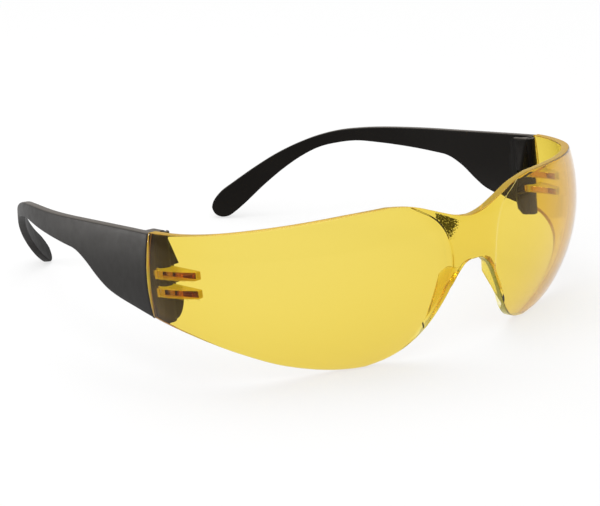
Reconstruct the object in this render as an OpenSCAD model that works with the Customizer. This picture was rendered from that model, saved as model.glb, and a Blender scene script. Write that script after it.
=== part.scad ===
// Frameless safety glasses: a one-piece wrap-around lens with a moulded nose
// bridge, and two temples that fold on steel pins between lugs on the lens.
// Millimetres. -Y is the front and +Z is up. Left and right are as seen from
// the front, so +X is right, which is the wearer's left.
//
// The shapes are drawn in the "wearing frame": temple tops level, the plan
// centre of the lens's front arcs at y = 0, and the top edge at the hinges at
// z = 0. place() then sets the glasses down on a table, where they stand on
// the lens's lower edge and on the two ear tips.

/* [Lens] */
// Width across the lens at the hinges
lens_w = 140.2; // [128:0.2:152]
// Plan radius of the front of each half
front_r = 73.5; // [65:0.5:85]
// Plan radius where each half wraps round to the temple
side_r = 34.4; // [28:0.2:45]
// Plan angle at which the front radius meets the side radius
turn = 42.7; // [30:0.1:55]
// Radius of the vertical curve
crown_r = 45.7; // [40:0.1:70]
// Height of the fullest point, below the top edge
crown_drop = 11.4; // [8:0.1:20]
// Wall thickness
lens_t = 2.2; // [1.8:0.1:2.6]
// Rear edge at the hinge, behind the plan centre
edge_y = -31.4; // [-36:0.1:-26]
// Lean of the rear edge, bottom to the rear
edge_lean = 4; // [0:0.5:8]

/* [Nose bridge] */
// Thickness of the bridge
bridge_t = 2.9; // [2.8:0.1:4]
// Plan radius of the bridge's front
bridge_r = 250; // [200:10:400]
// How far the bridge stands in front of the lens halves
bridge_proud = 0.45; // [0.4:0.05:1]
// Thickness of the nose flanges
flange_t = 1.6; // [1.4:0.1:2.6]
// Depth of the nose flanges from the front of the lens
flange_depth = 6.4; // [5:0.1:12]
// Angle at which the flanges open towards the face
flange_flare = 4; // [0:1:20]

/* [Hinges] */
// Pin axis, inward from the widest point of the lens
pin_in = 5.6; // [4.5:0.1:7]
// Pin axis, in front of the lens's rear edge
pin_fwd = 0.5; // [0:0.1:2]
// Pin diameter
pin_d = 1.5; // [1.2:0.1:2]
// Pin length
pin_l = 17.5; // [14:0.5:19]
// Radial clearance between the pin and the lens lugs
pin_gap = 0.05; // [0.02:0.01:0.1]
// Thickness of each lug
lug_t = 2.0; // [1.6:0.1:2.4]
// Heights of the two lugs' middles, below the top edge
lug_drops = [10.7, 15.2]; // [6:0.1:18]
// Reach of each lug in front of the pin
lug_reach = 12; // [8:0.5:20]
// Gap on each side of a lug in its slot
slot_gap = 0.12; // [0.05:0.01:0.3]

/* [Temples] */
// Wall thickness
temple_t = 2.1; // [1.8:0.1:3]
// Inward splay of the straight front part
splay = 2.8; // [0:0.1:5]
// Length of the straight front part
straight_l = 38.5; // [20:0.5:60]
// Plan radius of the part that curves round the ear
ear_r = 119; // [90:1:200]
// Plan angle of that curve
ear_turn = 45; // [30:1:60]
// Gap between the temple's shoulder and the lens's rear edge
shoulder_gap = 0.1; // [0.05:0.05:0.3]
// Height of the hinge block
block_h = 23.2; // [20:0.1:24]
// Width of the hinge block at its middle
block_w = 10.4; // [8:0.2:13]

/* [Standing pose] */
// Slope of the temples when the glasses stand on a table
stand_tilt = 4.95; // [0:0.05:8]

/* [Hidden] */
$fn = 96;

lens_tint = [0.93, 0.80, 0.28, 0.45];
temple_black = [0.10, 0.10, 0.10];
pin_steel = [0.70, 0.70, 0.72];

// Plan centres of the two arcs of the right half's outer face.
half_off = lens_w / 2 - side_r - (front_r - side_r) * sin(turn);
side_c = [half_off + (front_r - side_r) * sin(turn), -(front_r - side_r) * cos(turn)];

// The pin, and the faces that turn around it.
pin_x = lens_w / 2 - pin_in;
pin_y = edge_y - pin_fwd;
pin_bore_r = pin_d / 2 + pin_gap;
pin_press = 0.01;
pin_top = -1;
eye_r = 2.0;
knuckle_r = 1.5;

// Heights between which the lens's wall is turned, and the steps in its crown.
wall_low = -43.1;
wall_high = 1.7;
crown_steps = 14;

// Height at which the nose flanges end, below the top edge.
flange_low = -36;
// Height above which their backs slope forward, and how steeply.
flange_full = -23.5;
flange_slope = 0.69;

// Plan angle of the view in which the lens's outline is drawn.
lens_view = 45;

// Plan of the right temple's outer face: its front end, the end of its
// straight part, and the centre of the curve round the ear.
temple_start = [lens_w / 2 - 0.1, edge_y];
temple_bend = temple_start + straight_l * [-sin(splay), cos(splay)];
ear_c = temple_bend - ear_r * [cos(splay), sin(splay)];
// The outline is cut square to the strip at the front and across its ear part,
// in two pieces that meet a distance join_l from the front end.
join_l = 52;
join_lap = 0.01;
ear_view = 28;

// The tips and the lens's lower edge reach z = 0, and y = 0 is half-way from
// the front of the bridge to the ends of the tips.
stand_z = 35.25;
stand_y = -3.14;

// Outline of the right half, seen square to its middle: [across, height].
lens_top_line = [[34, -0.2], [26, -0.3], [17, -0.6], [8, -0.6], [-2, -0.4], [-12, -0.1],
                 [-23, 0.3], [-31, 0.4], [-40, 0.4], [-62, 0.4]];
lens_low_line = [[34, -19.2], [27.6, -22], [22.5, -24], [15.5, -27], [6, -31.5],
                 [-3, -35.8], [-12, -38.8], [-19, -40.2], [-26, -40.6], [-34, -41],
                 [-62, -41]];
// Dip of the top edge at the bridge, seen from the front: [x, z].
brow_line = [[-6, -5.4], [0, -5.8], [4.5, -5.1], [8.7, -3.7], [12.7, -2.2], [16, -1],
             [20, -0.1], [25, 0.5], [30, 0.9]];
// Nose opening, seen from the front.
nose_line = [[-6, -18.6], [0, -17.3], [2.8, -17.7], [4.8, -19.3], [6.7, -21.7], [9.1, -25.7],
             [11.7, -29.8], [13.5, -32.4], [15.8, -35], [19, -37.6], [23, -39.4],
             [28, -40.5], [34, -41.5]];
// Line on which each lens half meets the bridge, seen from the front.
crease_line = [[18.5, -0.4], [16, -2], [13.3, -3.6], [11.2, -5.4], [9.6, -7.7], [8.5, -10.5],
               [7.8, -13.5], [7.5, -17], [7.5, -26]];
// Side outline of the temple: [distance along its outer face, height].
temple_top_line = [[-4, -0.5], [10, -0.5], [30, -0.6], [50, -0.7], [62, -0.8],
                   [70, -1.1], [78, -1.8], [86, -3.4], [94, -5.9], [102, -9.2],
                   [110, -13.4], [118, -18.1]];
temple_tip_line = [[122.6, -21.2], [124.8, -24], [124.3, -26.8], [121.6, -28.4],
                   [118.2, -27.8]];
temple_low_line = [[113.6, -24.6], [107, -19.3], [100, -14.3], [93, -10.2], [86, -7.3],
                   [79, -5.9], [72, -5.3], [64, -5.8], [52, -6.9], [42, -8], [36, -8.9],
                   [30.5, -11.6], [25.5, -15.2], [20.5, -17.9], [12, -20.1], [-4, -23]];

// One point of the smooth curve through p, a fraction t along span i.
function curve_point(p, i, t) =
    let (a = p[max(i - 1, 0)], b = p[i], c = p[i + 1], d = p[min(i + 2, len(p) - 1)])
    0.5 * (2 * b + (c - a) * t + (2 * a - 5 * b + 4 * c - d) * t * t
           + (3 * b - a - 3 * c + d) * t * t * t);

// The smooth curve through p, with n steps to a span.
function curve(p, n = 3) =
    [for (i = [0:len(p) - 2], j = [0:n - 1]) curve_point(p, i, j / n), p[len(p) - 1]];

// The same curve moved sideways by d.
function beside(p, d) =
    [for (i = [0:len(p) - 1])
        let (a = p[max(i - 1, 0)], b = p[min(i + 1, len(p) - 1)], v = (b - a) / norm(b - a))
        p[i] + d * [-v[1], v[0]]];

function reversed(p) = [for (i = [len(p) - 1:-1:0]) p[i]];

// Stands the glasses on the table.
module place() {
    translate([0, stand_y, stand_z]) rotate([-stand_tilt, 0, 0]) children();
}

// The right side as drawn, or its mirror image.
module side(right) {
    if (right) children();
    else mirror([1, 0, 0]) children();
}

// An outline in [across, height], pushed through the glasses along the plan
// direction that makes an angle of view with the front.
module seen_from(view) {
    rotate([90, 0, view]) linear_extrude(240, center = true) children();
}

// Plan radius of a crowned wall at height z, a given inset behind its outer
// face, where that face's radius is r at its fullest.
function crowned(r, inset, z) =
    r - crown_r + sqrt(pow(crown_r - inset, 2) - pow(z + crown_drop, 2));

// Part of the lens's wall, between insets a and b: it turns about a plan centre
// from one plan angle to another. Its crown is made of short straight steps,
// because the crown's own centre is beyond the axis of the side radius.
module turned_wall(centre, r, from, to, a, b) {
    heights = [for (i = [0:crown_steps]) wall_low + (wall_high - wall_low) * i / crown_steps];
    translate(centre) rotate([0, 0, from - 90]) rotate_extrude(angle = to - from, $fn = 150)
        polygon(concat([for (z = heights) [crowned(r, a, z), z]],
                       [for (z = reversed(heights)) [crowned(r, b, z), z]]));
}

// The right half's front wall, which also passes behind the bridge.
module front_wall(a, b) {
    turned_wall([half_off, 0], front_r, -12, turn, a, b);
}

// The right half's whole wall.
module half_wall(a, b) {
    front_wall(a, b);
    turned_wall(side_c, side_r, turn, 100, a, b);
}

// Everything in front of the lens's leaning rear edge, less a gap.
module ahead_of_edge(gap = 0) {
    translate([0, edge_y - gap, 0]) rotate([edge_lean, 0, 0])
        translate([-90, -120, -60]) cube([180, 120, 80]);
}

// The nose opening of the right half, opened towards the face by the flare.
module nose_cut() {
    translate([0, -front_r, 0]) rotate([0, 0, -flange_flare]) seen_from(0)
        polygon(concat([[-20, -18.6]], curve(nose_line), [[34, -60], [-20, -60]]));
}

// The right lens as seen from the front: right of the crease and below the dip.
module lens_region() {
    seen_from(0) polygon(concat(
        reversed(curve(crease_line)), [for (p = curve(brow_line)) if (p[0] > crease_line[0][0]) p],
        [[30, 4], [90, 4], [90, -60], [crease_line[len(crease_line) - 1][0], -60]]));
}

// The bridge as seen from the front: inside the crease and below the dip.
module bridge_region() {
    seen_from(0) polygon(concat(
        [[-20, -26], [-20, -5.4]],
        [for (p = curve(brow_line)) if (p[0] < crease_line[0][0]) p], curve(crease_line)));
}

// The outline of one lens, seen square to the middle of its curve.
module inside_lens_outline() {
    seen_from(lens_view) polygon(concat(curve(lens_top_line), reversed(curve(lens_low_line))));
}

module right_of_centre() {
    translate([0, -90, -60]) cube([90, 120, 80]);
}

// The right lens, from its crease to its rear edge.
module lens_half() {
    difference() {
        intersection() {
            half_wall(0, lens_t);
            lens_region();
            inside_lens_outline();
            ahead_of_edge();
        }
        nose_cut();
    }
}

// The right half of the bridge: inside the crease, a flatter wall than the lens,
// which stands proud of it at the front and at the back.
module bridge_half() {
    difference() {
        intersection() {
            turned_wall([0, bridge_r - front_r - bridge_proud], bridge_r, -1, 6, 0, bridge_t);
            bridge_region();
            right_of_centre();
        }
        nose_cut();
    }
}

// The right nose flange: a strip along the nose opening, behind the lens. Its
// back slopes forward at the top, so that it dies out beside the arch.
module flange_half() {
    strip = [for (p = curve(nose_line)) if (p[1] > flange_low) p];
    back = flange_depth - front_r;
    intersection() {
        front_wall(0.6, 12);
        translate([0, -front_r, 0]) rotate([0, 0, -flange_flare]) seen_from(0)
            polygon(concat(strip, reversed(beside(strip, flange_t))));
        rotate([90, 0, 90]) linear_extrude(90)
            polygon([[-90, -60], [back, -60], [back, flange_full],
                     [back - 9 * flange_slope, flange_full + 9], [-90, flange_full + 9]]);
    }
}

// One lug in plan: the eye around the pin, and a gusset along the lens wall.
module lug_plan() {
    intersection() {
        union() {
            translate([pin_x, pin_y]) circle(eye_r);
            translate([pin_x - eye_r, pin_y - lug_reach]) square([12, lug_reach]);
        }
        translate(side_c) circle(side_r - lens_t / 2, $fn = 180);
    }
}

module lugs() {
    for (drop = lug_drops)
        translate([0, 0, -drop - lug_t / 2]) linear_extrude(lug_t) lug_plan();
}

module lens_shield() color(lens_tint) place() {
    difference() {
        union() {
            for (right = [true, false]) side(right) {
                lens_half();
                bridge_half();
                flange_half();
                lugs();
            }
        }
        for (right = [true, false]) side(right)
            translate([pin_x, pin_y, -22]) cylinder(h = 24, r = pin_bore_r);
    }
}

// Section of the temple: a wall with the lens's crown, whose outer face has
// plan radius r at its fullest.
module temple_section(r) {
    intersection() {
        translate([r - crown_r, -crown_drop]) difference() {
            circle(crown_r, $fn = 150);
            circle(crown_r - temple_t, $fn = 150);
        }
        translate([r - 31, -32]) square([32, 34]);
    }
}

// The right temple's crowned strip, from its front end to past its tip.
module temple_strip() {
    translate(ear_c) rotate([0, 0, splay]) {
        rotate([90, 0, 0]) linear_extrude(straight_l) temple_section(ear_r);
        rotate_extrude(angle = ear_turn, $fn = 240) temple_section(ear_r);
    }
}

// Plan position of the middle of the strip, a distance s from its front end.
function strip_at(s) =
    s < straight_l
        ? temple_start + s * [-sin(splay), cos(splay)] - temple_t / 2 * [cos(splay), sin(splay)]
        : let (a = splay + (s - straight_l) / ear_r * 180 / PI)
            ear_c + (ear_r - temple_t / 2) * [cos(a), sin(a)];

// The temple's side outline, pushed through the strip along the plan angle a.
module temple_outline(a) {
    outline = curve(concat(temple_top_line, temple_tip_line, temple_low_line));
    seen_from(90 + a)
        polygon([for (p = outline) [strip_at(p[0]) * [-sin(a), cos(a)], p[1]]]);
}

// Everything on the strip from a distance s onward.
module beyond(s) {
    p = strip_at(s);
    translate([p[0], p[1], -60]) rotate([0, 0, splay + (s - straight_l) / ear_r * 180 / PI])
        translate([-100, 0, 0]) cube([130, 140, 80]);
}

// The right temple's strip, cut to its outline.
module temple_blade() {
    intersection() {
        difference() {
            temple_strip();
            beyond(join_l);
        }
        temple_outline(splay);
    }
    intersection() {
        temple_strip();
        temple_outline(ear_view);
        beyond(join_l - join_lap);
    }
}

// The hinge block in plan, from the knuckles around the pin to its run-out.
module block_plan() {
    inner = lens_w / 2 - block_w;
    skin = lens_w / 2 - temple_t;
    translate([pin_x, pin_y]) circle(knuckle_r);
    polygon(concat(
        [[pin_x, pin_y], [inner + 0.8, pin_y], [inner, pin_y + 0.8]],
        curve([[inner, pin_y + 1.4], [inner + 1.6, pin_y + 2.9], [inner + 4, pin_y + 5.6],
               [skin - 2, pin_y + 8.4], [skin - 0.3, pin_y + 12]]),
        [[skin, pin_y + 12], [skin + 0.5, edge_y + 2], [pin_x + knuckle_r, pin_y + 2.3],
         [pin_x + knuckle_r, pin_y]]));
}

// The hinge block from the front: narrow at the top, full at mid-height.
module block_front() {
    outer = lens_w / 2 - 1;
    inner = lens_w / 2 - block_w;
    polygon([[outer, -0.7], [inner + 3.9, -0.7], [inner + 3.2, -1.5], [inner, -11],
             [inner, -18], [inner + 1.6, -block_h], [outer, -block_h]]);
}

// The hinge block from the side: its run-out stays above the temple's lower edge.
module block_side() {
    polygon([[pin_y - 4, 1], [pin_y + 18, 1], [pin_y + 18, -17.4], [pin_y + 8, -19.2],
             [pin_y + 2, -21.6], [pin_y + 1, -block_h], [pin_y - 4, -block_h]]);
}

// What the lens and a lug sweep through as the temple folds.
module lug_slot() {
    linear_extrude(lug_t + 2 * slot_gap) {
        translate([pin_x, pin_y]) circle(eye_r + 0.2);
        translate([pin_x - 12, pin_y - 4]) square([12, 4 + eye_r + 0.2]);
    }
}

module temple() {
    difference() {
        union() {
            difference() {
                temple_blade();
                ahead_of_edge(-shoulder_gap);
            }
            intersection() {
                translate([0, 0, -block_h]) linear_extrude(block_h) block_plan();
                seen_from(0) block_front();
                seen_from(90) block_side();
            }
        }
        for (drop = lug_drops)
            translate([0, 0, -drop - lug_t / 2 - slot_gap]) lug_slot();
        translate([pin_x, pin_y, pin_top - pin_l])
            cylinder(h = pin_l + 1, r = pin_d / 2 - pin_press);
    }
}

module temple_left() color(temple_black) place() side(false) temple();

module temple_right() color(temple_black) place() side(true) temple();

module hinge_pin() {
    translate([pin_x, pin_y, pin_top - pin_l]) cylinder(h = pin_l, d = pin_d);
}

module hinge_pin_left() color(pin_steel) place() side(false) hinge_pin();

module hinge_pin_right() color(pin_steel) place() side(true) hinge_pin();

lens_shield();
temple_left();
temple_right();
hinge_pin_left();
hinge_pin_right();
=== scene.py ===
"""Safety glasses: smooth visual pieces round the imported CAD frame, their materials, light and camera.

Shapes are worked out in millimetres in the wearing frame: temple tops level, the plan centre of the lens's
front arcs at y = 0 and its top edge at the hinges at z = 0. row_frame() stands them on the table, in metres.
The right half (+X) is worked out, and the left half is its mirror image.
"""
import math

import bmesh
import bpy
import numpy as np
from mathutils import Matrix, Vector


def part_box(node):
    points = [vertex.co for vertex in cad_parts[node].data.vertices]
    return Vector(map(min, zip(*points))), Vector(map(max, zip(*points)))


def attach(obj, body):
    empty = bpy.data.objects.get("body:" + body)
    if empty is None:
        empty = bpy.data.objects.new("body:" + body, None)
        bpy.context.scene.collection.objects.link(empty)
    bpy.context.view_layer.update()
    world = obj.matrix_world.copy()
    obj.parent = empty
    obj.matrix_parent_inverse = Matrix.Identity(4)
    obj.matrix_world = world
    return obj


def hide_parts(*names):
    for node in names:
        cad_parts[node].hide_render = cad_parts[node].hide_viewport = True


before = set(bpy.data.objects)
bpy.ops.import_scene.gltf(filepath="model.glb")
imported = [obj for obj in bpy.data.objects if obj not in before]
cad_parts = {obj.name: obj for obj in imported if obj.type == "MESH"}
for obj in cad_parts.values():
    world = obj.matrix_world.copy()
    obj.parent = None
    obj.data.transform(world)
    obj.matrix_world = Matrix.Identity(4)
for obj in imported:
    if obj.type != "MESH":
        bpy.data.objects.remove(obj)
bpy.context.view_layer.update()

# ---------------------------------------------------------------- sizes, as the CAD model has them, in mm
MM = 0.001

# the lens
LENS_W = 140.2                    # width at the hinges
LENS_T = 2.2                      # wall thickness
FRONT_R, SIDE_R = 73.5, 34.4      # plan radii of the front and of the side arcs
TURN = math.radians(42.7)         # plan angle at which the front radius meets the side radius
CROWN_R, CROWN_DROP = 45.7, 11.4  # radius of the vertical curve, and its fullest point below z = 0
EDGE_Y = -31.4                    # rear edge at z = 0
EDGE_LEAN = math.radians(4)       # lean of the rear edge, bottom to the rear

# the nose bridge and the nose flanges
BRIDGE_T, BRIDGE_R = 2.6, 250     # thickness, and the plan radius of the front
BRIDGE_PROUD = 0.35               # how far the bridge stands in front of the lens halves
FLANGE_T, FLANGE_DEPTH = 1.6, 6.4
FLANGE_FLARE = math.radians(4)    # angle at which the flanges open towards the face
FLANGE_FULL = -23.5               # height above which their backs slope forward
FLANGE_SLOPE = 0.69               # and how steeply

# the hinges
PIN_IN, PIN_FWD = 5.6, 0.5        # pin axis, inward from the widest point and in front of the rear edge
PIN_D, PIN_L, PIN_TOP = 1.5, 17.5, -1   # diameter, length, and height of the upper end
PIN_GAP = 0.05                    # radial clearance in the lugs
LUG_T, LUG_REACH = 2.0, 12        # thickness, and reach in front of the pin
LUG_DROPS = (10.7, 15.2)          # the two lugs' middles, below z = 0
SLOT_GAP = 0.12                   # gap on each side of a lug in its slot
EYE_R, KNUCKLE_R = 2.0, 1.5       # the lug's eye and the block's barrel round the pin

# the temples
TEMPLE_T = 2.1                    # wall thickness
TEMPLE_INSET = 0.1                # its outer face at the front, inward of the lens's widest point
SPLAY = math.radians(2.8)         # inward splay of the straight front part
STRAIGHT_L, EAR_R = 38.5, 119     # its length, and the plan radius of the curve round the ear
SHOULDER_GAP = 0.1                # between the temple's shoulder and the lens's rear edge
BLOCK_W, BLOCK_H = 10.4, 23.2     # the hinge block's full width, and its lower end below z = 0
BLOCK_TOP = -0.7                  # height of its upper end

# how the glasses stand on the table
STAND_TILT, STAND_Z, STAND_Y = math.radians(4.95), 35.25, -3.14

# worked out from them, in plan: the side arc's centre, the pin, the temple's directions and its ear curve
HALF_OFF = LENS_W / 2 - SIDE_R - (FRONT_R - SIDE_R) * math.sin(TURN)
SIDE_C = np.array([HALF_OFF + (FRONT_R - SIDE_R) * math.sin(TURN), -(FRONT_R - SIDE_R) * math.cos(TURN)])
PIN = np.array([LENS_W / 2 - PIN_IN, EDGE_Y - PIN_FWD])
SPLAY_OUT = np.array([math.cos(SPLAY), math.sin(SPLAY)])
SPLAY_BACK = np.array([-math.sin(SPLAY), math.cos(SPLAY)])
TEMPLE_START = np.array([LENS_W / 2 - TEMPLE_INSET, EDGE_Y])
EAR_C = TEMPLE_START + STRAIGHT_L * SPLAY_BACK - EAR_R * SPLAY_OUT

# Outlines: listed points, joined by smooth curves.
# The lens's outline, seen square to the middle of its right half: [across, height].
LENS_TOP = [[34, -0.2], [26, -0.3], [17, -0.6], [8, -0.6], [-2, -0.4], [-12, -0.1],
            [-23, 0.3], [-31, 0.4], [-40, 0.4], [-62, 0.4]]
LENS_LOW = [[34, -19.2], [27.6, -22], [22.5, -24], [15.5, -27], [6, -31.5], [-3, -35.8],
            [-12, -38.8], [-19, -40.2], [-26, -40.6], [-34, -41], [-62, -41]]
# The dip of the top edge, the nose opening and the crease beside the bridge, seen from the front: [x, z].
BROW = [[-6, -5.4], [0, -5.8], [4.5, -5.1], [8.7, -3.7], [12.7, -2.2], [16, -1], [20, -0.1],
        [25, 0.5], [30, 0.9]]
NOSE = [[-6, -18.6], [0, -17.3], [2.8, -17.7], [4.8, -19.3], [6.7, -21.7], [9.1, -25.7], [11.7, -29.8],
        [13.5, -32.4], [15.8, -35], [19, -37.6], [23, -39.4], [28, -40.5], [34, -41.5]]
CREASE = [[18.5, -0.4], [16, -2], [13.3, -3.6], [11.2, -5.4], [9.6, -7.7], [8.5, -10.5],
          [7.8, -13.5], [7.5, -17], [7.5, -26]]
# The temple's outline: [distance along its outer face, height]. Both curves end at its tip.
TEMPLE_TOP = [[-4, -0.5], [10, -0.5], [30, -0.6], [50, -0.7], [62, -0.8], [70, -1.1], [78, -1.8],
              [86, -3.4], [94, -5.9], [102, -9.2], [110, -13.4], [118, -18.1], [121, -19.9], [123, -21.6],
              [124.3, -23.2], [124.8, -24.4], [124.9, -25.2]]
TEMPLE_LOW = [[-4, -23], [12, -20.1], [20.5, -17.9], [25.5, -15.2], [30.5, -11.6], [36, -8.9],
              [42, -8], [52, -6.9], [64, -5.8], [72, -5.3], [79, -5.9], [86, -7.3], [93, -10.2],
              [100, -14.3], [107, -19.3], [113.6, -24.6], [118.2, -27.7], [120.4, -28.35], [122.4, -28.15],
              [123.9, -27.3], [124.7, -26.1], [124.9, -25.2]]
# The hinge block: how much narrower than BLOCK_W it is, by height, and the heights of its underside and
# of its top, by distance behind the pin.
BLOCK_TAPER = [[-BLOCK_H, 2.8], [-22.9, 2.0], [-22, 1.2], [-20.5, 0.5], [-18, 0], [-11, 0], [-1.5, 3.2],
               [BLOCK_TOP, 3.9]]
BLOCK_FLOOR = [[1.5, -BLOCK_H], [3, -21.9], [8, -19.2], [18, -17.4]]
BLOCK_ROOF = [[5, BLOCK_TOP], [12, -2.2]]


# ---------------------------------------------------------------- geometry helpers
def curve(points, steps=12):
    """The smooth curve through given points, as the CAD model draws it."""
    p = np.array(points, float)
    out = []
    for i in range(len(p) - 1):
        a, b, c, d = p[max(i - 1, 0)], p[i], p[i + 1], p[min(i + 2, len(p) - 1)]
        for t in np.arange(steps) / steps:
            out.append(0.5 * (2 * b + (c - a) * t + (2 * a - 5 * b + 4 * c - d) * t * t
                              + (3 * b - a - 3 * c + d) * t ** 3))
    return np.array(out + [p[-1]])


def height_of(points):
    """A function that gives the smooth curve's second value for its first."""
    line = curve(points)
    line = line[np.argsort(line[:, 0])]
    return lambda x: float(np.interp(x, line[:, 0], line[:, 1]))


def along(points, x):
    """The second value for x on straight lines through the points."""
    first, second = np.transpose(points)
    return np.interp(x, first, second)


lens_top, lens_low, brow, nose = (height_of(p) for p in (LENS_TOP, LENS_LOW, BROW, NOSE))
crease_x = height_of([[z, x] for x, z in CREASE])
temple_top, temple_low = height_of(TEMPLE_TOP), height_of(TEMPLE_LOW)


def smooth(t):
    """A smooth step from 0 at t = 0 to 1 at t = 1."""
    t = min(max(float(t), 0.0), 1.0)
    return t * t * (3 - 2 * t)


def row_frame(points, mirrored=False):
    """Wearing-frame millimetres to row-frame metres."""
    p = np.array(points, float)
    if mirrored:
        p = p * [-1, 1, 1]
    c, s = math.cos(STAND_TILT), math.sin(STAND_TILT)
    return np.column_stack([p[:, 0], p[:, 1] * c + p[:, 2] * s + STAND_Y,
                            -p[:, 1] * s + p[:, 2] * c + STAND_Z]) * MM


def wearing_frame(point, normal):
    """A row-frame point in wearing-frame millimetres, and a direction turned with it."""
    c, s = math.cos(STAND_TILT), math.sin(STAND_TILT)
    x, y, z = point / MM
    y, z = y - STAND_Y, z - STAND_Z
    nx, ny, nz = normal
    return (x, y * c - z * s, y * s + z * c), (nx, ny * c - nz * s, ny * s + nz * c)


def add_object(name, data):
    """Puts a mesh, a light or a camera into the scene."""
    obj = bpy.data.objects.new(name, data)
    bpy.context.scene.collection.objects.link(obj)
    return obj


MERGE_DIST, DISSOLVE_DIST = 2e-6, 1e-6   # in metres


def mesh_object(name, vertices, faces, mirrored=False):
    """A closed mesh object in the row frame, with its normals outward."""
    mesh = bpy.data.meshes.new(name)
    mesh.from_pydata([tuple(v) for v in row_frame(vertices, mirrored)], [], faces)
    bm = bmesh.new()
    bm.from_mesh(mesh)
    bmesh.ops.remove_doubles(bm, verts=bm.verts, dist=MERGE_DIST)
    bmesh.ops.dissolve_degenerate(bm, edges=bm.edges, dist=DISSOLVE_DIST)
    bmesh.ops.recalc_face_normals(bm, faces=bm.faces)
    bm.to_mesh(mesh)
    bm.free()
    return add_object(name, mesh)


def loft(rings, cap_start=True):
    """Vertices and faces of a skin over rings of equally many points. The last ring is always capped."""
    n = len(rings[0])
    vertices = np.vstack(rings)
    faces = []
    for i in range(len(rings) - 1):
        a, b = i * n, (i + 1) * n
        faces += [(a + j, a + (j + 1) % n, b + (j + 1) % n, b + j) for j in range(n)]
    if cap_start:
        faces.append(tuple(range(n)))
    faces.append(tuple(range(len(vertices) - 1, len(vertices) - n - 1, -1)))
    return vertices, faces


def joined(skins):
    """Several (vertices, faces) skins as one."""
    vertices, faces, base = [], [], 0
    for v, f in skins:
        vertices.append(v)
        faces += [tuple(i + base for i in face) for face in f]
        base += len(v)
    return np.vstack(vertices), faces


def both_sides(skins):
    """The skins and their mirror images, as one."""
    mirrored = [(vertices * [-1, 1, 1], [face[::-1] for face in faces]) for vertices, faces in skins]
    return joined(skins + mirrored)


def boolean(obj, tool, operation):
    """Applies one boolean to obj and removes the tool."""
    modifier = obj.modifiers.new("boolean", "BOOLEAN")
    modifier.operation, modifier.solver, modifier.object = operation, "MANIFOLD", tool
    graph = bpy.context.evaluated_depsgraph_get()
    mesh = bpy.data.meshes.new_from_object(obj.evaluated_get(graph))
    obj.modifiers.clear()
    obj.data = mesh
    bpy.data.objects.remove(tool)


def shade(obj, angle):
    """Smooth shading, except across edges sharper than the angle in degrees."""
    mesh = obj.data
    mesh.shade_smooth()
    mesh.set_sharp_from_angle(angle=math.radians(angle))


def store_mask(obj, name, values):
    """Stores a number for each point of the mesh, for its material to read."""
    obj.data.attributes.new(name, "FLOAT", "POINT").data.foreach_set("value", values)


QUARTER = np.radians(np.linspace(0, 90, 5))
# directions in a wall's section: up, down, towards its outer face and towards its inner face
UP, DOWN, OUTWARD, INWARD = (1, 0), (-1, 0), (0, -1), (0, 1)


def corner(at, height, inset, r, first, last, angles=QUARTER):
    """A section's corner on the surface at(), rounded about (height, inset) from one direction to another."""
    return [at(height + r * (first[0] * math.cos(a) + last[0] * math.sin(a)),
               inset + r * (first[1] * math.cos(a) + last[1] * math.sin(a))) for a in angles]


def arc(centre, radius, angles):
    """Plan points about a centre."""
    return [centre + radius * np.array([math.cos(a), math.sin(a)]) for a in angles]


def level(plan, z):
    """A plan outline as points at height z."""
    return np.column_stack([plan, np.full(len(plan), z)])


def rim_levels(low, high, rim, between=()):
    """(height, inset) pairs from low to high, for a solid with rounded lower and upper edges."""
    levels = [(low + rim - rim * math.sin(a), rim - rim * math.cos(a)) for a in QUARTER[::-1]]
    levels += [(z, 0.0) for z in between]
    levels += [(high - rim + rim * math.sin(a), rim - rim * math.cos(a)) for a in QUARTER]
    return levels


ROD_SIDES = 48


def rod(radius, low, high, chamfer=0.0):
    """A round rod along the pin's axis."""
    levels = [(low, radius), (high, radius)]
    if chamfer:
        levels = [(low, radius - chamfer), (low + chamfer, radius),
                  (high - chamfer, radius), (high, radius - chamfer)]
    angles = np.linspace(0, 2 * math.pi, ROD_SIDES, endpoint=False)
    return loft([level(arc(PIN, r, angles), z) for z, r in levels])


# ---------------------------------------------------------------- the lens's columns
# A column is a line up the wall: at(z, inset) gives its point at a height and a depth behind the outer face.
JOIN_X = 26      # where the columns that follow the crease give way to columns of constant plan angle
CREASE_W, BACK_W = 0.8, 9   # widths over which the bridge's front and back run into the lens's


def crowned(r, inset, z):
    """Plan radius of the crowned wall at height z, an inset behind its outer face."""
    return r - CROWN_R + np.sqrt((CROWN_R - inset) ** 2 - (z + CROWN_DROP) ** 2)


def front_point(x, z, inset, on_bridge):
    """A point of the front wall at x. on_bridge is 1 on the bridge and 0 on the lens."""
    rho = crowned(FRONT_R, inset, z)
    lens_y = -np.sqrt(rho ** 2 - (x - HALF_OFF) ** 2)
    rho = crowned(BRIDGE_R, inset / LENS_T * BRIDGE_T, z)
    bridge_y = BRIDGE_R - FRONT_R - BRIDGE_PROUD - np.sqrt(rho ** 2 - x ** 2)
    return np.array([x, lens_y + on_bridge * (bridge_y - lens_y), z])


def central_column(g):
    """Column x(z) near the bridge: g is 0 at the mirror plane, 1 on the crease and 2 at JOIN_X."""
    def at(z, inset):
        edge = crease_x(z)
        x = g * edge if g <= 1 else edge + (g - 1) * (JOIN_X - edge)
        width = CREASE_W + (BACK_W - CREASE_W) * np.clip(inset / LENS_T, 0, 1)
        return front_point(x, z, inset, 1 - smooth((x - edge) / width + 0.5))
    return at


def front_column(h):
    """Column between JOIN_X, at h = 0, and the end of the front arc, at h = 1."""
    def at(z, inset):
        rho = crowned(FRONT_R, inset, z)
        start = np.arcsin((JOIN_X - HALF_OFF) / rho)
        a = start + h * (TURN - start)
        return np.array([HALF_OFF + rho * np.sin(a), -rho * np.cos(a), z])
    return at


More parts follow.
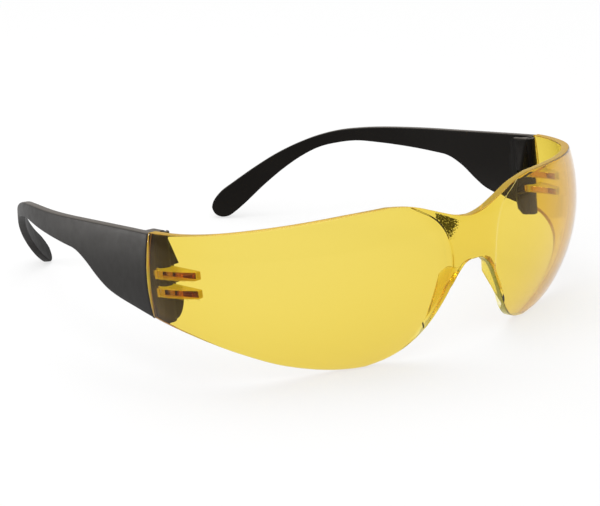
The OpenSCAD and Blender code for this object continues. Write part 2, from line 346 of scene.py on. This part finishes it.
def side_column(h, ahead=0.0):
    """Column on the side arc: h is 0 at the front arc's end and 1 at a distance ahead of the rear edge."""
    def at(z, inset):
        rho = crowned(SIDE_R, inset, z)
        edge = EDGE_Y - z * math.tan(EDGE_LEAN) - ahead
        end = np.arccos(np.clip((SIDE_C[1] - edge) / rho, -1, 1))
        a = TURN + h * (end - TURN)
        return np.array([SIDE_C[0] + rho * np.sin(a), SIDE_C[1] - rho * np.cos(a), z])
    return at


# The rear edge is rounded by rings a distance ahead of it, each drawn in by a small amount all round.
REAR_ROUNDING = ((0.3, 0), (0.12, 0.06), (0.03, 0.17), (0, 0.3))


def lens_columns():
    """(column, how far its ring is drawn in), from the mirror plane to the rear edge."""
    # even steps to the crease, close ones across it, and even ones again to JOIN_X
    steps = list(np.linspace(0, 0.955, 34)) + [0.97, 0.985, 1.0, 1.012, 1.025, 1.045]
    steps += list(1.07 + 0.93 * np.linspace(0, 1, 40))
    columns = [(central_column(g), 0) for g in steps]
    columns += [(front_column(h), 0) for h in np.linspace(0, 1, 60)[1:]]
    columns += [(side_column(h), 0) for h in np.linspace(0, 0.985, 34)[1:]]
    columns += [(side_column(1, ahead), shrink) for ahead, shrink in REAR_ROUNDING]
    return columns


# ---------------------------------------------------------------- the lens's sections
LENS_RIM = 0.35   # radius of the rim's rounded corners
EDGE_TRIM = 0.11  # keeps the smooth lower edge inside the CAD model's box
FACE_ROWS = 56    # points up each face of the wall
LOWEST = -41.4    # the lowest height at which a column is measured
TINY = 0.02       # a rounding or a share of the flange below this is left out

FLANGE_FOOT, FLANGE_RISE = -37.5, 4.5   # where the flange starts, and the height in which it becomes full
FLANGE_END_X = 20                       # no flange lies outward of this
FLANGE_FADE = 1.5                       # depth in which it dies out beside the arch
FLANGE_TALL = 7.0                       # its greatest height behind one column
FLANGE_NIP = 0.5                        # radius of its rounded back
NIP_OF_DEPTH, NIP_OF_HEIGHT = 0.3, 0.4  # the most of its depth and height that this rounding takes
FLANGE_STEPS = 8                        # points along its upper side, and along its lower side


def edge_heights(column):
    """Heights of the lens's top and bottom edges on a column. The column's own place depends on the height,
    because the wall is crowned, so each height is reached by repeated part steps."""
    top, low = 0.0, -25.0
    for _ in range(60):
        x, y, _z = column(top, 0)
        dip = brow(x) if x < BROW[-1][0] else math.inf
        top = 0.5 * top + 0.5 * min(lens_top((x + y) / math.sqrt(2)), dip)
    for _ in range(120):
        x, y, _z = column(max(low, LOWEST), 0)
        opening = nose(x) if x < NOSE[-1][0] else -math.inf
        low = 0.8 * low + 0.2 * max(lens_low((x + y) / math.sqrt(2)), opening)
    return top, low + EDGE_TRIM


def flange_share(column, low, back_y):
    """How full the nose flange is behind a column with its lower end at low: 0 where there is none."""
    if column(low, 0)[0] >= FLANGE_END_X:
        return 0.0
    share = smooth((low - FLANGE_FOOT) / FLANGE_RISE)
    if low > FLANGE_FULL:
        share *= smooth((back_y - column(low, LENS_T)[1]) / FLANGE_FADE)
    return share if share > TINY else 0.0


def flange_points(column, low, foot, inset, turn_in, share, back_y):
    """The flange's part of a section: its upper side, from the wall's inner face at height foot, its rounded
    back, and its lower side, to that face again at height low + turn_in."""
    x_low = column(low, 0)[0]
    start, base = column(foot, inset), column(low + turn_in, inset)
    depth = max((back_y - start[1]) * share, 0.0)
    nip = min(FLANGE_NIP, NIP_OF_DEPTH * depth)
    tall = foot - low - turn_in
    sag = min(nip, NIP_OF_HEIGHT * tall)
    step_in = (start[1] - base[1]) * share

    def lift(back):
        """How far the flange has risen at a distance behind the wall, because the opening widens there."""
        x, x_wall = (max(x_low - d * math.tan(FLANGE_FLARE), 0) for d in (LENS_T + back, LENS_T))
        return max(nose(x) - nose(x_wall), 0.0) * share

    points = []
    for back in np.linspace(0, depth - nip, FLANGE_STEPS)[1:]:
        points.append(start + [0, back, lift(back)])
    for a in QUARTER[1:]:
        points.append(start + [0, depth - nip + nip * math.sin(a), lift(depth) - sag * (1 - math.cos(a))])
    for a in QUARTER[::-1]:
        back = depth - nip + nip * math.sin(a)
        points.append(base + [0, step_in + back, lift(depth) + sag * (1 - math.cos(a))])
    for back in np.linspace(depth - nip, 0, FLANGE_STEPS)[1:-1]:
        points.append(base + [0, step_in * back / max(depth, 1e-6) + back, lift(back)])
    return points


def lens_ring(column, shrink):
    """One closed section of the lens wall, with the nose flange behind its lower end."""
    top, low = edge_heights(column)
    x_low = column(low, 0)[0]
    # the flange's back slopes forward at the top, where it dies out beside the arch
    back_y = -FRONT_R + FLANGE_DEPTH - FLANGE_SLOPE * max(low - FLANGE_FULL, 0)
    share = flange_share(column, low, back_y)
    # the flange is FLANGE_T thick square to the nose opening's edge, whose slope counts here
    near = 0.2
    slope = abs(nose(x_low + near) - nose(max(x_low - near, 0))) / (2 * near)
    height = min(FLANGE_T * math.hypot(1, slope), FLANGE_TALL) * share
    top, low = top - shrink, low + shrink
    outer, inner = shrink, LENS_T - shrink
    r = min(LENS_RIM, (inner - outer) / 2 - TINY)
    foot = low + r + height
    turn_in = r * (1 - share)

    ring = [column(z, outer) for z in np.linspace(low + r, top - r, FACE_ROWS)]
    ring += corner(column, top - r, outer + r, r, OUTWARD, UP, QUARTER[1:])
    ring += [column(top, t) for t in np.linspace(outer + r, inner - r, 4)[1:-1]]
    ring += corner(column, top - r, inner - r, r, UP, INWARD)
    ring += [column(z, inner) for z in np.linspace(top - r, foot, FACE_ROWS)[1:]]
    ring += flange_points(column, low, foot, inner, turn_in, share, back_y)
    # the wall's own lower edge, rounded at the back except where the flange is full
    if turn_in > TINY:
        ring += corner(column, low + turn_in, inner - turn_in, turn_in, INWARD, DOWN)
    else:
        ring += [column(low, inner - 0.01 * k) for k in range(len(QUARTER))]
    ring += [column(low, t) for t in np.linspace(inner - max(turn_in, 0.05), outer + r, 4)[1:-1]]
    ring += corner(column, low + r, outer + r, r, DOWN, OUTWARD, QUARTER[:-1])
    return np.array(ring)


# ---------------------------------------------------------------- the lugs, and the finished lens
LUG_POINTS = 12          # on each straight or gently curved stretch of its outline
LUG_CORNER = 0.5         # radius of the gusset's front corner
LUG_RIM = 0.2            # radius of a lug's rounded edges
WALL_END, EYE_END = 0.6, 0.55   # where the gusset leaves the wall and meets the eye, in front of the pin
BORE_ENDS = (-20, -5)    # heights that take the bore through both lugs and nothing else


def lug_plan(inset):
    """Plan outline of a lug: the eye round the pin and the gusset that joins it to the lens wall."""
    eye = EYE_R - inset
    left, tip = PIN[0] - eye, PIN[1] - LUG_REACH + inset
    wall = SIDE_R - LENS_T / 2
    outline = arc(PIN, eye, np.linspace(0, math.pi, 2 * LUG_POINTS))
    outline += [np.array([left, y]) for y in np.linspace(PIN[1], tip + LUG_CORNER, LUG_POINTS)[1:]]
    outline += [np.array([left, tip]) + LUG_CORNER * np.array([1 - math.cos(a), 1 - math.sin(a)])
                for a in QUARTER[1:]]
    outline += [np.array([SIDE_C[0] + math.sqrt(wall ** 2 - (y - SIDE_C[1]) ** 2), y])
                for y in np.linspace(tip, PIN[1] - WALL_END, LUG_POINTS)]
    outline.append(np.array([PIN[0] + eye, PIN[1] - EYE_END]))
    return np.array(outline)


def lug(drop):
    """A flat lug with rounded edges."""
    levels = rim_levels(-drop - LUG_T / 2, -drop + LUG_T / 2, LUG_RIM)
    return loft([level(lug_plan(inset), z) for z, inset in levels])


def make_lens():
    half = loft([lens_ring(column, shrink) for column, shrink in lens_columns()], cap_start=False)
    lens = mesh_object("lens", *both_sides([half]))
    boolean(lens, mesh_object("lug_tool", *both_sides([lug(drop) for drop in LUG_DROPS])), "UNION")
    bore = rod(PIN_D / 2 + PIN_GAP, *BORE_ENDS)
    boolean(lens, mesh_object("bore_tool", *both_sides([bore])), "DIFFERENCE")
    shade(lens, 24)
    mark_lens(lens)
    return lens


# ---------------------------------------------------------------- the lens's masks
RIM_FACING, RIM_FADE = 0.94, 0.3         # facing() below which a surface is a cut edge, and its fade
# where the painted glow of a cut edge turns partly yellow: the middle of the edge
GLOW_FACING, GLOW_FADE = 0.5, 0.4    # the same for the middle of a cut edge
EDGE_GLOW_YELLOW = 0.25                       # how yellow that middle is
LUGS_X, LUGS_LOW, LUGS_HIGH = 50, -17, -9   # the lugs lie outward of this x and between these heights
FLANGES_X, FLANGES_HIGH = 22, -14        # the flanges lie inward of this x and below this height
LUG_RIM_SHARE, FLANGE_RIM_SHARE = 0.95, 0.6

# The stippled wedge on the front, whose dark dots are painted shade: a point and the slope of its upper edge,
# the same for its inner end, the width over which the dots thicken outward, its outer end, its lowest height,
# and how far forward a normal there has to point.
WEDGE_TOP, WEDGE_TOP_SLOPE = (3.8, -6.3), 0.456
WEDGE_IN, WEDGE_IN_SLOPE = (0.4, -6.7), 0.9
WEDGE_THICKEN, WEDGE_OUT, WEDGE_LOW, WEDGE_FORWARD = 7.0, 12.2, -12, 0.6


def facing(point, normal):
    """How squarely a normal stands on the crowned wall: 1 on its two faces, less on a cut edge."""
    x, y, z = point
    centre = (HALF_OFF, 0) if math.atan2(abs(x) - HALF_OFF, -y) < TURN else SIDE_C
    radial = np.array([abs(x) - centre[0], y - centre[1]])
    radial = radial / np.linalg.norm(radial)
    across = normal[0] * math.copysign(radial[0], x) + normal[1] * radial[1]
    rise = np.clip((z + CROWN_DROP) / (CROWN_R - LENS_T / 2), -1, 1)
    return abs(across * math.sqrt(1 - rise ** 2) + normal[2] * rise)


def painted_shade_stipple(point, normal):
    """How dense the painted-shade stippling is at a point: it is on the front only, inside the left crease.
    """
    x, _y, z = point
    if x >= 0 or z <= WEDGE_LOW or normal[1] >= -WEDGE_FORWARD:
        return 0.0
    out = abs(x)
    below = smooth((WEDGE_TOP[1] + (out - WEDGE_TOP[0]) * WEDGE_TOP_SLOPE - z) / 0.5)
    inside = smooth((crease_x(z) - out) / 0.4)
    outward = smooth((out - WEDGE_IN[0] - WEDGE_IN_SLOPE * max(WEDGE_IN[1] - z, 0)) / WEDGE_THICKEN)
    ends = smooth((WEDGE_OUT - out) / 0.8)
    return below * inside * outward * ends


def mark_lens(lens):
    """Stores the masks that the lens's material reads. rim is how far the surface turns away from the wall's
    faces: up to 1 on a cut edge. The yellow-glow mask is where the painted glow on such an edge is yellow and
    not orange: the lugs and the nose flanges, and in part the middle of the other edges. The stipple mask is
    how dense the dark dots of painted shade are."""
    rims, glow_yellows, painted_shade_stipples = [], [], []
    for vertex in lens.data.vertices:
        point, normal = wearing_frame(vertex.co, vertex.normal)
        x, y, z = point
        square = facing(point, normal)
        rim = smooth((RIM_FACING - square) / RIM_FADE)
        middle = smooth((GLOW_FACING - square) / GLOW_FADE)
        on_lug = abs(x) > LUGS_X and LUGS_LOW < z < LUGS_HIGH and y < EDGE_Y + 1 and rim > 0
        on_flange = abs(x) < FLANGES_X and z < FLANGES_HIGH
        rims.append(rim * (LUG_RIM_SHARE if on_lug else FLANGE_RIM_SHARE if on_flange else 1.0))
        # the painted glow is fully yellow on the lugs and the nose flanges
        glow_yellows.append(1.0 if on_lug or on_flange else EDGE_GLOW_YELLOW * middle)
        painted_shade_stipples.append(painted_shade_stipple(point, normal))
    store_mask(lens, "rim", rims)
    store_mask(lens, "glow_yellow", glow_yellows)
    store_mask(lens, "painted_shade_stipple", painted_shade_stipples)


# ---------------------------------------------------------------- the temples' strip
TEMPLE_RIM = 0.45            # radius of its rounded corners
STRIP_ROWS = 20              # points up each face
LEAST_TALL = 0.2             # least height of a section, at the tip
CORNER_FIT = 2.2             # a section is at least this many corner radii high and thick
LEAN_RUN = 12                # length in which the shoulder's lean dies out
TIP_S, TIP_START = 124.9, 112   # the tip, and where the stations start to close up towards it
# The shoulder is rounded by rings a distance behind it, each drawn in by a small amount all round.
SHOULDER_ROUNDING = [(0.0, 0.3), (0.05, 0.15), (0.15, 0.05), (0.35, 0.0)]


def strip_point(s, z, inset):
    """A point of the temple's strip, a distance s along its outer face and an inset behind it."""
    rho_inset = CROWN_R - np.sqrt((CROWN_R - inset) ** 2 - (z + CROWN_DROP) ** 2)
    if s < STRAIGHT_L:
        xy = TEMPLE_START + s * SPLAY_BACK - rho_inset * SPLAY_OUT
    else:
        a = SPLAY + (s - STRAIGHT_L) / EAR_R
        xy = EAR_C + (EAR_R - rho_inset) * np.array([math.cos(a), math.sin(a)])
    return np.array([xy[0], xy[1], z])


def temple_ring(s, shrink):
    """One closed section of the temple's strip, with rounded corners."""
    top, low = temple_top(s), temple_low(s)
    lean = math.tan(EDGE_LEAN) * (1 - smooth(s / LEAN_RUN))
    tall = max(top - low - 2 * shrink, LEAST_TALL)
    middle = (top + low) / 2
    top, low = middle + tall / 2, middle - tall / 2
    outer, inner = shrink, TEMPLE_T - shrink
    r = min(TEMPLE_RIM, tall / CORNER_FIT, (inner - outer) / CORNER_FIT)

    def at(z, inset):
        return strip_point(s + SHOULDER_GAP - z * lean, z, inset)

    ring = [at(z, outer) for z in np.linspace(low + r, top - r, STRIP_ROWS)]
    ring += corner(at, top - r, outer + r, r, OUTWARD, UP, QUARTER[1:])
    ring += corner(at, top - r, inner - r, r, UP, INWARD)
    ring += [at(z, inner) for z in np.linspace(top - r, low + r, STRIP_ROWS)[1:]]
    ring += corner(at, low + r, inner - r, r, INWARD, DOWN, QUARTER[1:])
    ring += corner(at, low + r, outer + r, r, DOWN, OUTWARD, QUARTER[:-1])
    return np.array(ring)


def temple_strip():
    """The strip from its shoulder to its tip, where the sections close up."""
    stations = SHOULDER_ROUNDING + [(s, 0.0) for s in np.arange(1.5, TIP_START, 1.25)]
    run = TIP_S - 0.02 - TIP_START
    stations += [(TIP_START + run * math.sin(a), 0.0) for a in np.radians(np.linspace(4, 90, 30))]
    return loft([temple_ring(s, shrink) for s, shrink in stations])


# ---------------------------------------------------------------- the hinge block, and the finished temple
BLOCK_RIM, BLOCK_CORNER = 0.35, 0.8      # radii of its upper and lower edges, and of its front corner
BARREL_TURN = 172                        # degrees of the barrel that stand free of the block
BLOCK_BACK = 12                          # where the run-out meets the temple, behind the pin
BLOCK_BITE, BLOCK_SETBACK = 0.5, 0.1     # how far it reaches into the strip, and behind the shoulder
# heights of the levels between its rounded edges
BLOCK_ROWS = (-22.4, -21.8, -21, -20, -18, -14.5, -11, -8, -5, -3)
SLOT_REACH = EYE_R + 0.2                 # radius that clears a lug's eye
SLOT_IN, SLOT_FWD = 12, 4                # reach of the slot, inward and in front of the pin
HOLE_GAP, HOLE_TOP = 0.06, 2             # the pin hole's radial clearance, and a height above the block
PAINTED_SHADE_FACING, PAINTED_SHADE_FADE = 0.2, 0.4      # how far a normal turns inward before it counts, and its fade
PIN_CHAMFER = 0.18


def block_plan(z, inset):
    """Plan outline of the hinge block at height z: the barrel round the pin, the body and its run-out."""
    x_full = LENS_W / 2 - BLOCK_W
    x_in = x_full + along(BLOCK_TAPER, z) + inset
    skin = LENS_W / 2 - TEMPLE_T
    r = KNUCKLE_R - inset
    run_out = curve([[x_full, PIN[1] + 1.4], [x_full + 1.6, PIN[1] + 2.9], [x_full + 4, PIN[1] + 5.6],
                     [skin - 2, PIN[1] + 8.4], [skin - 0.3, PIN[1] + BLOCK_BACK]], steps=6)
    shoulder = EDGE_Y + SHOULDER_GAP + BLOCK_SETBACK - z * math.tan(EDGE_LEAN) + inset
    # from the barrel's outer side, forward round it, along the front, then back along the run-out
    outline = arc(PIN, r, np.radians(np.linspace(0, -BARREL_TURN, 22)))
    outline += [np.array([x_in, PIN[1] + inset]) + BLOCK_CORNER * np.array([1 - math.sin(a), 1 - math.cos(a)])
                for a in QUARTER]
    outline += [np.array([max(x + inset, x_in), y]) for x, y in run_out]
    outline += [np.array([skin, PIN[1] + BLOCK_BACK]), np.array([skin + BLOCK_BITE, shoulder]),
                np.array([PIN[0] + r, shoulder])]
    return np.array(outline)


def block_skin():
    """The hinge block, with its levels bent to follow its underside and its top."""
    rings = []
    for z, inset in rim_levels(-BLOCK_H, BLOCK_TOP, BLOCK_RIM, BLOCK_ROWS):
        plan = block_plan(z, inset)
        back = plan[:, 1] - PIN[1]
        floor, roof = along(BLOCK_FLOOR, back), along(BLOCK_ROOF, back)
        rings.append(np.column_stack([plan, floor + (z + BLOCK_H) * (roof - floor) / (BLOCK_TOP + BLOCK_H)]))
    return loft(rings)


def lug_slot(drop):
    """What one lug and the lens wall beside it sweep through as the temple folds."""
    plan = arc(PIN, SLOT_REACH, np.radians(np.linspace(-90, 90, 24)))
    plan += [PIN + [-SLOT_IN, SLOT_REACH], PIN + [-SLOT_IN, -SLOT_FWD], PIN + [SLOT_REACH, -SLOT_FWD]]
    half = LUG_T / 2 + SLOT_GAP
    return loft([level(plan, z) for z in (-drop - half, -drop + half)])


def make_temple(name, mirrored):
    temple = mesh_object(name, *temple_strip(), mirrored)
    boolean(temple, mesh_object("block_tool", *block_skin(), mirrored), "UNION")
    for drop in LUG_DROPS:
        boolean(temple, mesh_object("slot_tool", *lug_slot(drop), mirrored), "DIFFERENCE")
    hole = rod(PIN_D / 2 + HOLE_GAP, PIN_TOP - PIN_L, HOLE_TOP)
    boolean(temple, mesh_object("hole_tool", *hole, mirrored), "DIFFERENCE")
    shade(temple, 32)
    # the inner mask is 1 on the faces that turn towards the other temple, where the material paints shade by
    # turning their reflection down
    outward = -1 if mirrored else 1
    inward = [-vertex.normal.x * outward for vertex in temple.data.vertices]
    store_mask(temple, "inner", [smooth((turn - PAINTED_SHADE_FACING) / PAINTED_SHADE_FADE) for turn in inward])
    return temple


def make_pin(name, mirrored):
    pin = mesh_object(name, *rod(PIN_D / 2, PIN_TOP - PIN_L, PIN_TOP, PIN_CHAMFER), mirrored)
    shade(pin, 30)
    return pin


# ---------------------------------------------------------------- shader nodes
def set_inputs(node, values):
    """Sets a node's inputs by their names."""
    for name, value in values.items():
        node.inputs[name].default_value = value


def new_material(name, values):
    """A material, its node tree and its Principled BSDF with these inputs."""
    material = bpy.data.materials.new(name)
    material.use_nodes = True
    shader = material.node_tree.nodes["Principled BSDF"]
    set_inputs(shader, values)
    return material, material.node_tree, shader


def noise(tree, scale, detail, stretch=None):
    """A noise texture in the object's own space, so that it stays on the piece as it moves."""
    place = tree.nodes.new("ShaderNodeTexCoord")
    texture = tree.nodes.new("ShaderNodeTexNoise")
    set_inputs(texture, {"Scale": scale, "Detail": detail})
    source = place.outputs["Object"]
    if stretch:
        mapping = tree.nodes.new("ShaderNodeMapping")
        set_inputs(mapping, {"Scale": stretch})
        tree.links.new(source, mapping.inputs["Vector"])
        source = mapping.outputs["Vector"]
    tree.links.new(source, texture.inputs["Vector"])
    return texture.outputs["Fac"]


def coordinate_z(tree, kind):
    """The Z value of a texture coordinate of that kind."""
    place = tree.nodes.new("ShaderNodeTexCoord")
    split = tree.nodes.new("ShaderNodeSeparateXYZ")
    tree.links.new(place.outputs[kind], split.inputs["Vector"])
    return split.outputs["Z"]


def remap(tree, source, low, high, start=0.3, end=0.7):
    """The source from start to end, mapped to low to high."""
    node = tree.nodes.new("ShaderNodeMapRange")
    set_inputs(node, {"From Min": start, "From Max": end, "To Min": low, "To Max": high})
    tree.links.new(source, node.inputs["Value"])
    return node.outputs["Result"]


def bump(tree, source, strength, distance, normal=None):
    """A normal with bumps of that many metres, on top of another one if it is given."""
    node = tree.nodes.new("ShaderNodeBump")
    set_inputs(node, {"Strength": strength, "Distance": distance})
    tree.links.new(source, node.inputs["Height"])
    if normal:
        tree.links.new(normal, node.inputs["Normal"])
    return node.outputs["Normal"]


def mask(tree, name):
    """One of the masks that are stored on the mesh's points."""
    node = tree.nodes.new("ShaderNodeAttribute")
    node.attribute_name = name
    return node.outputs["Fac"]


def scaled(tree, source, factor):
    node = tree.nodes.new("ShaderNodeMath")
    node.operation = "MULTIPLY"
    node.inputs[1].default_value = factor
    tree.links.new(source, node.inputs[0])
    return node.outputs[0]


def blended(tree, share, first, second):
    """A blend of two colours. first is a colour or another node's output."""
    node = tree.nodes.new("ShaderNodeMix")
    node.data_type = "RGBA"
    node.inputs["B"].default_value = second
    if isinstance(first, tuple):
        node.inputs["A"].default_value = first
    else:
        tree.links.new(first, node.inputs["A"])
    tree.links.new(share, node.inputs["Factor"])
    return node.outputs["Result"]


def mixed(tree, share, first, second):
    """A mix of two shaders: the share is a number or another node's output."""
    node = tree.nodes.new("ShaderNodeMixShader")
    if isinstance(share, float):
        node.inputs["Fac"].default_value = share
    else:
        tree.links.new(share, node.inputs["Fac"])
    tree.links.new(first, node.inputs[1])
    tree.links.new(second, node.inputs[2])
    return node.outputs[0]


def plain_shader(tree, kind, colour):
    node = tree.nodes.new(kind)
    node.inputs["Color"].default_value = colour
    return node.outputs[0]


# ---------------------------------------------------------------- materials
def frosted_edge_and_painted_glow(tree):
    """The lens's cut edges: frosted, with a painted glow from an emission, orange or, where the yellow-glow
    mask is 1, yellow.
    """
    glow = plain_shader(tree, "ShaderNodeBsdfTranslucent", (1.0, 0.85, 0.20, 1))
    back = plain_shader(tree, "ShaderNodeBsdfDiffuse", (1.0, 0.75, 0.08, 1))
    # painted glow: an emission that makes the cut edges shine orange and yellow, standing in for light
    # carried inside the lens
    painted_glow = tree.nodes.new("ShaderNodeEmission")
    painted_glow.inputs["Strength"].default_value = 1.0
    painted_glow_hue = blended(tree, mask(tree, "glow_yellow"), (0.72, 0.27, 0.01, 1), (1.0, 0.98, 0.02, 1))
    tree.links.new(painted_glow_hue, painted_glow.inputs["Color"])
    return mixed(tree, 0.45, mixed(tree, 0.5, glow, back), painted_glow.outputs[0])


def with_painted_shade_stipple(tree, surface):
    """The surface with the stippled wedge's dark dots, painted shade that thins out towards the middle of the
    bridge.
    """
    dots = tree.nodes.new("ShaderNodeMath")
    dots.operation = "LESS_THAN"
    tree.links.new(noise(tree, scale=3300, detail=1), dots.inputs[0])
    tree.links.new(scaled(tree, mask(tree, "painted_shade_stipple"), 0.66), dots.inputs[1])
    # painted shade: dark dots that stand in for the black temple seen through the stippled front
    painted_shade_dots = plain_shader(tree, "ShaderNodeBsdfDiffuse", (0.035, 0.026, 0.002, 1))
    return mixed(tree, scaled(tree, dots.outputs[0], 0.95), surface, painted_shade_dots)


def lens_material():
    """Clear amber-yellow polycarbonate. Its dye deepens to amber where light travels far inside it."""
    material, tree, shader = new_material("amber_polycarbonate", {
        "Base Color": (1.0, 0.99, 0.95, 1), "Transmission Weight": 1.0, "IOR": 1.58,
        "Specular Tint": (0.40, 0.34, 0.22, 1), "Specular IOR Level": 0.35})
    rough = remap(tree, noise(tree, scale=90, detail=3), low=0.0, high=0.03)
    tree.links.new(rough, shader.inputs["Roughness"])
    waves = bump(tree, noise(tree, scale=28, detail=1), strength=0.10, distance=0.0002)
    tree.links.new(waves, shader.inputs["Normal"])

    # the cut edges take in part the frosted edge with its painted glow
    surface = mixed(tree, scaled(tree, mask(tree, "rim"), 0.55), shader.outputs[0], frosted_edge_and_painted_glow(tree))
    output = tree.nodes["Material Output"]
    tree.links.new(with_painted_shade_stipple(tree, surface), output.inputs["Surface"])
    dye = tree.nodes.new("ShaderNodeVolumeAbsorption")
    set_inputs(dye, {"Color": (0.936, 0.826, 0.0, 1), "Density": 900})
    tree.links.new(dye.outputs["Volume"], output.inputs["Volume"])
    return material


def temple_material():
    """Black moulded plastic with a fine spark-eroded grain, its upward faces painted a lighter grey as
    painted top light, and its inward faces given less reflection as painted shade.
    """
    material, tree, shader = new_material("black_satin_plastic", {
        "IOR": 1.49, "Specular Tint": (1.0, 0.93, 0.86, 1)})
    clouds = noise(tree, scale=55, detail=3)
    black = blended(tree, clouds, (0.0045, 0.0040, 0.0036, 1), (0.0085, 0.0076, 0.0068, 1))
    # painted top light: faces that point up are blended towards grey, as if lit from above
    painted_top_light = remap(tree, coordinate_z(tree, "Normal"), low=0.0, high=1.0, start=0.55, end=0.95)
    tree.links.new(blended(tree, painted_top_light, black, (0.085, 0.075, 0.065, 1)), shader.inputs["Base Color"])
    rough = remap(tree, noise(tree, scale=400, detail=2), low=0.42, high=0.50)
    tree.links.new(rough, shader.inputs["Roughness"])
    # painted shade: the inward faces reflect less, as if in the shade of the other temple
    painted_shade_gloss = remap(tree, mask(tree, "inner"), low=0.13, high=0.045)
    tree.links.new(painted_shade_gloss, shader.inputs["Specular IOR Level"])
    broad = bump(tree, noise(tree, scale=700, detail=2), strength=0.10, distance=0.0001)
    grain = bump(tree, noise(tree, scale=5200, detail=2), strength=0.30, distance=0.00003, normal=broad)
    tree.links.new(grain, shader.inputs["Normal"])
    return material


def steel_material():
    """Bright drawn steel wire with fine lines along its length."""
    material, tree, shader = new_material("bright_steel", {
        "Base Color": (0.72, 0.71, 0.69, 1), "Metallic": 1.0})
    lines = noise(tree, scale=4000, detail=3, stretch=(1, 1, 0.03))
    tree.links.new(remap(tree, lines, low=0.16, high=0.34), shader.inputs["Roughness"])
    tree.links.new(bump(tree, lines, strength=0.15, distance=0.00002), shader.inputs["Normal"])
    return material


def floor_material():
    """A pale table that glows softly, so that light comes up through the lens as well."""
    material, tree, shader = new_material("pale_light_table", {
        "Base Color": (0.22, 0.22, 0.22, 1), "Specular IOR Level": 0.0,
        "Emission Color": (1, 1, 1, 1), "Emission Strength": 0.68})
    rough = remap(tree, noise(tree, scale=6, detail=2), low=0.75, high=0.85)
    tree.links.new(rough, shader.inputs["Roughness"])
    return material


# ---------------------------------------------------------------- stage: floor, light and camera, in metres
FLOOR_REACH = 6.0       # from the floor's middle to its edges
FLOOR_GAP = 0.0002      # between the floor and the lens's lowest point

# name, place, side and power of each softbox, which is turned towards LIT_POINT
SOFTBOXES = (("key", (-0.5, -0.9, 1.1), 0.9, 4.0),
             ("top", (0.1, 0.4, 1.3), 1.2, 9.0),
             ("side", (-0.30, 0.30, 0.08), 0.14, 1.0))
LIT_POINT = (0, 0, 0.02)

CAMERA_PLACE = (-0.3073, -0.3909, 0.1588)
CAMERA_AZIMUTH = math.radians(38.73)     # from +Y towards +X
CAMERA_DROP = math.radians(16.68)        # how far it looks down
CAMERA_ROLL = math.radians(-2.59)
CAMERA_SENSOR, CAMERA_LENS = 36, 109.4   # in millimetres


def make_floor():
    bm = bmesh.new()
    bmesh.ops.create_grid(bm, x_segments=4, y_segments=4, size=FLOOR_REACH)
    mesh = bpy.data.meshes.new("floor")
    bm.to_mesh(mesh)
    bm.free()
    mesh.materials.append(floor_material())
    floor = add_object("floor", mesh)
    floor.location.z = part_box("lens_shield")[0].z - FLOOR_GAP


def make_dome():
    """A soft white dome, dimmer towards the horizon and below it."""
    world = bpy.data.worlds.new("studio")
    bpy.context.scene.world = world
    world.use_nodes = True
    tree = world.node_tree
    back = tree.nodes["Background"]
    back.inputs["Color"].default_value = (1.0, 1.0, 1.0, 1)
    strength = remap(tree, coordinate_z(tree, "Generated"), low=0.62, high=1.05, start=0.0, end=0.8)
    tree.links.new(strength, back.inputs["Strength"])


def make_softboxes():
    for name, place, side, power in SOFTBOXES:
        light = bpy.data.lights.new(name, "AREA")
        light.energy, light.size = power, side
        lamp = add_object(name, light)
        lamp.location = place
        lamp.rotation_euler = (Vector(LIT_POINT) - Vector(place)).to_track_quat("-Z", "Y").to_euler()


def make_camera():
    """The camera at the reference view: ahead of the glasses, to their left and a little above."""
    ahead = Vector((math.sin(CAMERA_AZIMUTH) * math.cos(CAMERA_DROP),
                    math.cos(CAMERA_AZIMUTH) * math.cos(CAMERA_DROP), -math.sin(CAMERA_DROP)))
    right = ahead.cross(Vector((0, 0, 1))).normalized()
    unrolled = Matrix((right, right.cross(ahead), -ahead)).transposed()
    turned = unrolled @ Matrix.Rotation(CAMERA_ROLL, 3, "Z")
    data = bpy.data.cameras.new("camera")
    data.sensor_width, data.lens = CAMERA_SENSOR, CAMERA_LENS
    data.clip_start, data.clip_end = 0.01, 50
    camera = add_object("camera", data)
    camera.matrix_world = Matrix.Translation(CAMERA_PLACE) @ turned.to_4x4()
    bpy.context.scene.camera = camera


# ---------------------------------------------------------------- the pieces
def add(obj, material, body, node):
    """Gives a piece its material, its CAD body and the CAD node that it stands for."""
    obj.data.materials.clear()
    obj.data.materials.append(material)
    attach(obj, body)
    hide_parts(node)


plastic, steel = temple_material(), steel_material()
add(make_lens(), lens_material(), "lens_front", "lens_shield")
for side, mirrored in (("left", True), ("right", False)):
    temple = make_temple("temple_" + side + "_moulding", mirrored)
    add(temple, plastic, side + "_temple", "temple_" + side)
    pin = make_pin("pin_" + side, mirrored)
    add(pin, steel, side + "_temple", "hinge_pin_" + side)

make_floor()
make_dome()
make_softboxes()
make_camera()
scene = bpy.context.scene
scene.view_settings.view_transform = "Standard"
scene.cycles.max_bounces = 24
scene.cycles.transmission_bounces = 20
scene.cycles.transparent_max_bounces = 16
